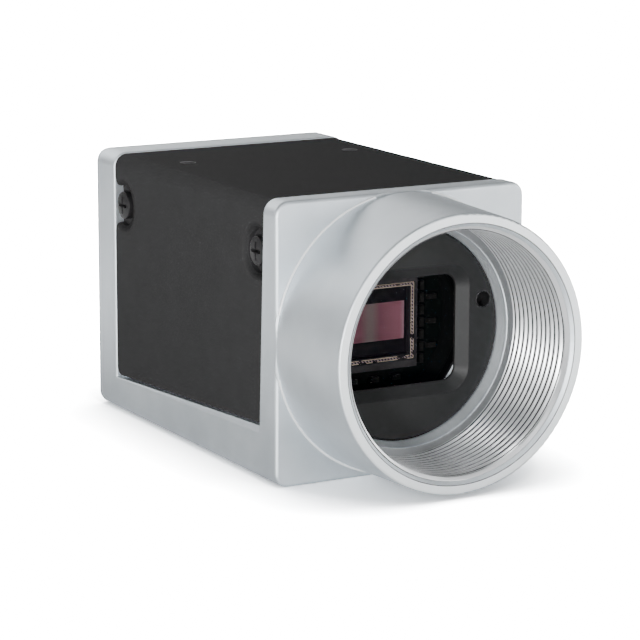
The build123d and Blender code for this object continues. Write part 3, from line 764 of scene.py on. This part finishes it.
class Wardrobe:
    """Makes each finish once and puts it on pieces by the record's slot names."""

    def __init__(self) -> None:
        """Starts with nothing made."""
        self.made: dict[str, bpy.types.Material] = {}

    def material(self, slot: str) -> bpy.types.Material:
        """The slot's material, made at its first use."""
        if slot not in self.made:
            self.made[slot] = FINISHES[slot].make(slot)
        return self.made[slot]

    def dress_cad(self) -> None:
        """Puts each CAD node's finish on its object's material slot."""
        for row in frame["record"]["subparts"]:
            piece = frame["nodes"][row["node"]]
            piece.data.materials.clear()
            piece.data.materials.append(self.material(row["material_slot"]))
            log.info("dressed %s in %s", row["node"], row["material_slot"])

    def dress_in(self, piece: bpy.types.Object, finish: Finish) -> bpy.types.Object:
        """Puts a finish of its own on a new piece that belongs to one of the record's slots.

        Args:
            piece: the piece.
            finish: the finish.

        Returns:
            The same piece.
        """
        piece.data.materials.append(finish.make(piece.name))
        return piece


def piece_from(mesh: bmesh.types.BMesh, name: str, smooth_angle: float) -> bpy.types.Object:
    """Makes a riding piece from a mesh in millimetres.

    Args:
        mesh: the mesh, freed here.
        name: the piece's name.
        smooth_angle: edges flatter than this, in degrees, are shaded smooth.

    Returns:
        The new object.
    """
    mesh.transform(Matrix.Scale(MM, 4))
    data = bpy.data.meshes.new(name)
    mesh.to_mesh(data)
    mesh.free()
    data.shade_smooth()
    data.set_sharp_from_angle(angle=math.radians(smooth_angle))
    piece = bpy.data.objects.new(name, data)
    bpy.context.scene.collection.objects.link(piece)
    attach(piece, "root")
    log.info("built %s with %d faces", name, len(data.polygons))
    return piece


@dataclass
class HelicalThread:
    """A screw thread's land: one ridge wound along an axis inside a bore.

    The profile lies in the plane of the axis and is wound once per pitch. Both ends are cut flat, and the
    ridge is pared back to a cone at the bore's mouth.
    """

    name: str = "lens_thread"
    slot: str = "satin_silver_housing"
    bore: float = 12.7
    crest: float = 12.3
    pitch: float = 0.79375
    groove_at_crest: float = 0.17
    groove_at_root: float = 0.09
    first_groove: float = 1.7
    start: float = 0.37
    end: float = 9.99
    cone: float = 13.05
    sunk: float = 0.02
    crest_soft: float = 0.03
    land_steps: int = 6
    steps: int = 192
    spare_turns: int = 3
    smooth_angle: float = 30.0

    def outline(self) -> list[tuple[float, float]]:
        """The land's cross-section, as radius and distance along the axis from the groove's centre."""
        root, crest = self.groove_at_root / 2, self.groove_at_crest / 2
        side = crest + self.crest_soft
        land = self.pitch - 2 * side
        inner = [(self.crest, side + land * step / self.land_steps) for step in range(self.land_steps + 1)]
        return [
            (self.bore + self.sunk, root),
            (self.crest + self.crest_soft, crest),
            *inner,
            (self.crest + self.crest_soft, self.pitch - crest),
            (self.bore + self.sunk, self.pitch - root),
        ]

    def build(self, wardrobe: Wardrobe) -> bpy.types.Object:
        """Winds, pares and cuts the ridge.

        Args:
            wardrobe: where its finish comes from.

        Returns:
            The thread's object.
        """
        mesh = bmesh.new()
        turns = math.ceil((self.end - self.start) / self.pitch) + self.spare_turns
        first = self.first_groove - self.pitch * math.ceil((self.first_groove - self.start) / self.pitch + 1)
        ring = [mesh.verts.new((radius, first + along, 0.0)) for radius, along in self.outline()]
        edges = [mesh.edges.new((a, b)) for a, b in zip(ring, ring[1:] + ring[:1])]
        bmesh.ops.spin(
            mesh, geom=ring + edges, cent=(0, 0, 0), axis=(0, 1, 0), dvec=(0, self.pitch / self.steps, 0),
            angle=FULL_TURN, steps=self.steps, use_merge=False, use_duplicate=False,
        )
        one_turn = mesh.verts[:] + mesh.edges[:] + mesh.faces[:]
        for turn in range(1, turns):
            copy = bmesh.ops.duplicate(mesh, geom=one_turn)["geom"]
            copied = [item for item in copy if isinstance(item, bmesh.types.BMVert)]
            bmesh.ops.translate(mesh, verts=copied, vec=(0, turn * self.pitch, 0))
        bmesh.ops.remove_doubles(mesh, verts=mesh.verts, dist=MERGE_WITHIN)
        for vert in mesh.verts:
            radius = math.hypot(vert.co.x, vert.co.z)
            least = min(self.cone - vert.co.y, self.bore + self.sunk)
            if radius < least:
                vert.co.x *= least / radius
                vert.co.z *= least / radius
        for height, facing in ((self.start, -1), (self.end, 1)):
            cut = bmesh.ops.bisect_plane(
                mesh, geom=mesh.verts[:] + mesh.edges[:] + mesh.faces[:], dist=CUT_WITHIN,
                plane_co=(0, height, 0), plane_no=(0, facing, 0), clear_outer=True,
            )
            rim = [item for item in cut["geom_cut"] if isinstance(item, bmesh.types.BMEdge)]
            bmesh.ops.holes_fill(mesh, edges=rim, sides=0)
        bmesh.ops.recalc_face_normals(mesh, faces=mesh.faces)
        return wardrobe.dress_in(piece_from(mesh, self.name, self.smooth_angle), CutThread())


@dataclass
class Bead:
    """Fine bright bead of four arcs round an axis along Y, with a gap at each quarter.

    As it stands, it marks where the lens tube meets the front plate, and its gaps are where the tube reaches the
    plate's edges. Its near-white finish there is a painted highlight along that line.
    """

    name: str = "mount_root_highlight_bead"
    slot: str = "satin_silver_housing"
    # near-white finish: a painted highlight where the lens tube meets the front plate
    finish: Finish = Moulding((0.92, 0.93, 0.94, 1), (0.96, 0.97, 0.97, 1), 0.3, metallic=0.3)
    radius: float = 14.55
    thickness: float = 0.1
    centre: Point = (0.0, 11.70, 0.0)
    clear: float = math.radians(13)
    quarters: int = 4
    sides: int = 10
    steps: int = 40
    smooth_angle: float = 60.0

    def build(self, wardrobe: Wardrobe) -> bpy.types.Object:
        """Spins one arc for each quarter and closes its ends.

        Args:
            wardrobe: where its finish comes from.

        Returns:
            The bead's object.
        """
        mesh = bmesh.new()
        apart = FULL_TURN / self.quarters
        sweep = apart - 2 * self.clear
        for quarter in range(self.quarters):
            disc = bmesh.ops.create_circle(mesh, cap_ends=True, segments=self.sides, radius=self.thickness)["verts"]
            bmesh.ops.translate(mesh, verts=disc, vec=(self.radius, 0, 0))
            bmesh.ops.rotate(mesh, verts=disc, cent=(0, 0, 0),
                             matrix=Matrix.Rotation(quarter * apart + self.clear, 3, "Y"))
            faces = list({face for vert in disc for face in vert.link_faces})
            edges = list({edge for vert in disc for edge in vert.link_edges})
            copy = bmesh.ops.duplicate(mesh, geom=disc + edges + faces)["geom"]
            loop = [item for item in copy if isinstance(item, (bmesh.types.BMVert, bmesh.types.BMEdge))]
            bmesh.ops.delete(mesh, geom=[item for item in copy if isinstance(item, bmesh.types.BMFace)],
                             context="FACES_ONLY")
            swept = bmesh.ops.spin(mesh, geom=loop, cent=(0, 0, 0), axis=(0, 1, 0), angle=sweep, steps=self.steps,
                                   use_merge=False, use_duplicate=False)["geom_last"]
            rim = [item for item in swept if isinstance(item, bmesh.types.BMEdge)]
            bmesh.ops.contextual_create(mesh, geom=rim)
        bmesh.ops.translate(mesh, verts=mesh.verts, vec=self.centre)
        bmesh.ops.remove_doubles(mesh, verts=mesh.verts, dist=MERGE_WITHIN)
        bmesh.ops.recalc_face_normals(mesh, faces=mesh.faces)
        return wardrobe.dress_in(piece_from(mesh, self.name, self.smooth_angle), self.finish)


@dataclass(frozen=True)
class Softbox:
    """One rectangular soft light: its centre, width and height in millimetres, and its power in watts."""

    name: str
    place: Point
    size: tuple[float, float]
    power: float


@dataclass
class Studio:
    """Pale floor, white surround, soft lights and the camera at the photograph's angle."""

    floor_z: float = -14.5
    floor_size: float = 3000.0
    floor_cells: int = 8
    floor_middle: float = 20.0
    yaw: float = 0.5115
    pitch: float = 0.2088
    roll: float = -0.0035
    distance: float = 282.48
    aim: Point = (0.0, 21.8, 0.0)
    aim_offset: tuple[float, float] = (0.012, -0.0018)
    focal_pixels: float = 2705.842
    frame_pixels: float = 640.0
    sensor: float = 36.0
    nearest: float = 10.0
    farthest: float = 20000.0
    front_light: float = 0.32
    rear_light: float = 0.30
    floor_gain: float = 52.0
    # painted pool of light: rays other than the camera's see the floor brighter than one, in a ring round the
    # body's footprint
    floor_bounce: float = 3.3
    floor_light_pool: tuple[tuple[float, float], ...] = (
        (0.0, 0.22), (1.0, 0.20), (0.10, 0.24), (0.28, 0.96), (0.40, 0.96), (0.58, 0.22),
    )
    foot_middle: float = 33.0
    foot_half_length: float = 20.8
    foot_half_width: float = 14.5
    light_pool_reach: float = 200.0
    # painted contact shadow on the floor as the camera sees it
    shadow_samples: int = 8
    shadow_reach: float = 11.0
    shadow_least: float = 0.03
    surround_tint: Colour = (0.98, 0.99, 1.0, 1.0)
    ahead_span: tuple[float, float] = (-0.5, 0.7)
    overhead_span: tuple[float, float] = (0.05, 0.7)
    high_light: float = 0.22
    seen_light: float = 14.0
    softboxes: tuple[Softbox, ...] = (
        Softbox("key", (-60, -380, 420), (80, 60), 0.65),
        Softbox("front_right", (240, -520, 58), (460, 132), 1.25),
        Softbox("right_side", (480, -150, 60), (300, 140), 1.1),
        Softbox("front_left", (-430, -470, 20), (96, 50), 4.8),
        Softbox("left_high", (-330, -420, 230), (160, 120), 0.3),
        Softbox("side", (-460, -60, 80), (260, 160), 0.25),
        Softbox("rear", (-60, 440, 235), (600, 150), 1.2),
        Softbox("edge", (100, -60, 280), (180, 60), 0.09),
    )

    def camera(self) -> bpy.types.Object:
        """Places the camera that the photograph's edges were fitted to, and returns it."""
        forward = Vector((
            math.sin(self.yaw) * math.cos(self.pitch),
            math.cos(self.yaw) * math.cos(self.pitch),
            -math.sin(self.pitch),
        ))
        level = Vector((math.cos(self.yaw), -math.sin(self.yaw), 0.0))
        down = forward.cross(level)
        right = math.cos(self.roll) * level + math.sin(self.roll) * down
        drop = math.cos(self.roll) * down - math.sin(self.roll) * level
        eye = Vector(self.aim) - self.distance * (
            self.aim_offset[0] * right + self.aim_offset[1] * drop + forward
        )
        turn = Matrix((right, -drop, -forward)).transposed().to_4x4()
        data = bpy.data.cameras.new("photo_camera")
        data.sensor_width = self.sensor
        data.lens = self.focal_pixels / self.frame_pixels * self.sensor
        data.clip_start = self.nearest * MM
        data.clip_end = self.farthest * MM
        camera = bpy.data.objects.new("photo_camera", data)
        bpy.context.scene.collection.objects.link(camera)
        camera.matrix_world = Matrix.Translation(eye * MM) @ turn
        bpy.context.scene.camera = camera
        return camera

    def floor(self) -> bpy.types.Object:
        """Lays the pale floor under the body, with painted contact shadow where the camera sees it and a painted
        pool of light in what it gives back to other rays, and returns it.
        """
        mesh = bmesh.new()
        bmesh.ops.create_grid(mesh, x_segments=self.floor_cells, y_segments=self.floor_cells,
                              size=self.floor_size / 2)
        bmesh.ops.translate(mesh, verts=mesh.verts, vec=(0, self.floor_middle, self.floor_z))
        mesh.transform(Matrix.Scale(MM, 4))
        data = bpy.data.meshes.new("floor")
        mesh.to_mesh(data)
        mesh.free()
        floor = bpy.data.objects.new("floor", data)
        bpy.context.scene.collection.objects.link(floor)
        paint = Paint("floor")
        seen = paint.node("ShaderNodeLightPath", output="Is Camera Ray")
        # painted shadow: the camera-seen floor darkens where ambient occlusion finds the body near
        painted_shadow = paint.node("ShaderNodeAmbientOcclusion", {"samples": self.shadow_samples},
                             {"Distance": self.shadow_reach * MM}, "AO")
        openness = painted_shadow * painted_shadow
        white = (self.shadow_least + (1 - self.shadow_least) * (openness * openness)) * self.floor_gain
        near = paint.node("ShaderNodeBsdfDiffuse", inputs={"Color": white})
        # painted pool of light: the floor gives back more than it gets in a ring round the body, so it lights the
        # body like a lamp
        x, y, _ = paint.axes()
        aside = paint.larger(abs(x) - self.foot_half_width, 0.0)
        ahead = paint.larger(abs(y - self.foot_middle) - self.foot_half_length, 0.0)
        away = paint.root(aside * aside + ahead * ahead) / self.light_pool_reach
        light_pool = paint.ramp(away, [(share, grey(value)) for share, value in self.floor_light_pool])
        bounce = paint.node("ShaderNodeVectorMath", {"operation": "SCALE"},
                            {0: light_pool, "Scale": self.floor_bounce})
        plain = paint.node("ShaderNodeBsdfDiffuse", inputs={"Color": bounce})
        both = paint.node("ShaderNodeMixShader", inputs={0: seen, 1: plain, 2: near})
        paint.link(both, paint.output.inputs["Surface"])
        data.materials.append(paint.material)
        return floor

    def surround(self) -> None:
        """Fills the studio with dim white light that fades overhead, and is seen white by the camera."""
        world = bpy.data.worlds.new("white_studio")
        world.use_nodes = True
        graph = Graph(world.node_tree)
        background = world.node_tree.nodes["Background"]
        background.inputs["Color"].default_value = self.surround_tint
        _, ahead, up = graph.split(graph.node("ShaderNodeTexCoord", output="Generated"))
        around = graph.span(ahead, *self.ahead_span, self.front_light, self.rear_light)
        overhead = graph.span(up, *self.overhead_span, 1.0, self.high_light)
        seen = graph.node("ShaderNodeLightPath", output="Is Camera Ray")
        graph.link(seen * self.seen_light + around * overhead, background.inputs["Strength"])
        bpy.context.scene.world = world

    def hang(self, softbox: Softbox) -> bpy.types.Object:
        """Hangs one soft light, turned to the body.

        Args:
            softbox: the light's sizes.

        Returns:
            The light.
        """
        data = bpy.data.lights.new(softbox.name, "AREA")
        data.shape = "RECTANGLE"
        data.size = softbox.size[0] * MM
        data.size_y = softbox.size[1] * MM
        data.energy = softbox.power
        light = bpy.data.objects.new(softbox.name, data)
        bpy.context.scene.collection.objects.link(light)
        where = Vector(softbox.place)
        light.matrix_world = (
            Matrix.Translation(where * MM)
            @ (Vector(self.aim) - where).to_track_quat("-Z", "Y").to_matrix().to_4x4()
        )
        return light

    def build(self) -> None:
        """Sets the whole studio up."""
        self.camera()
        self.floor()
        self.surround()
        for softbox in self.softboxes:
            self.hang(softbox)


def main() -> None:
    """Builds the pieces, dresses them and sets the studio up, in order."""
    logging.basicConfig(level=logging.INFO, format="%(name)s: %(message)s")
    wardrobe = Wardrobe()
    wardrobe.dress_cad()
    HelicalThread().build(wardrobe)
    Bead().build(wardrobe)
    Bead(
        name="holder_hole_rim", slot="black_anodised_holder",
        finish=TurnedMetal((0.05, 0.05, 0.051, 1), (0.08, 0.08, 0.082, 1), 0.2),
        radius=0.85, thickness=0.05, centre=(9.35, 11.25, 2.7), clear=math.radians(1), steps=12,
    ).build(wardrobe)
    Studio().build()


if __name__ == "__main__":
    main()
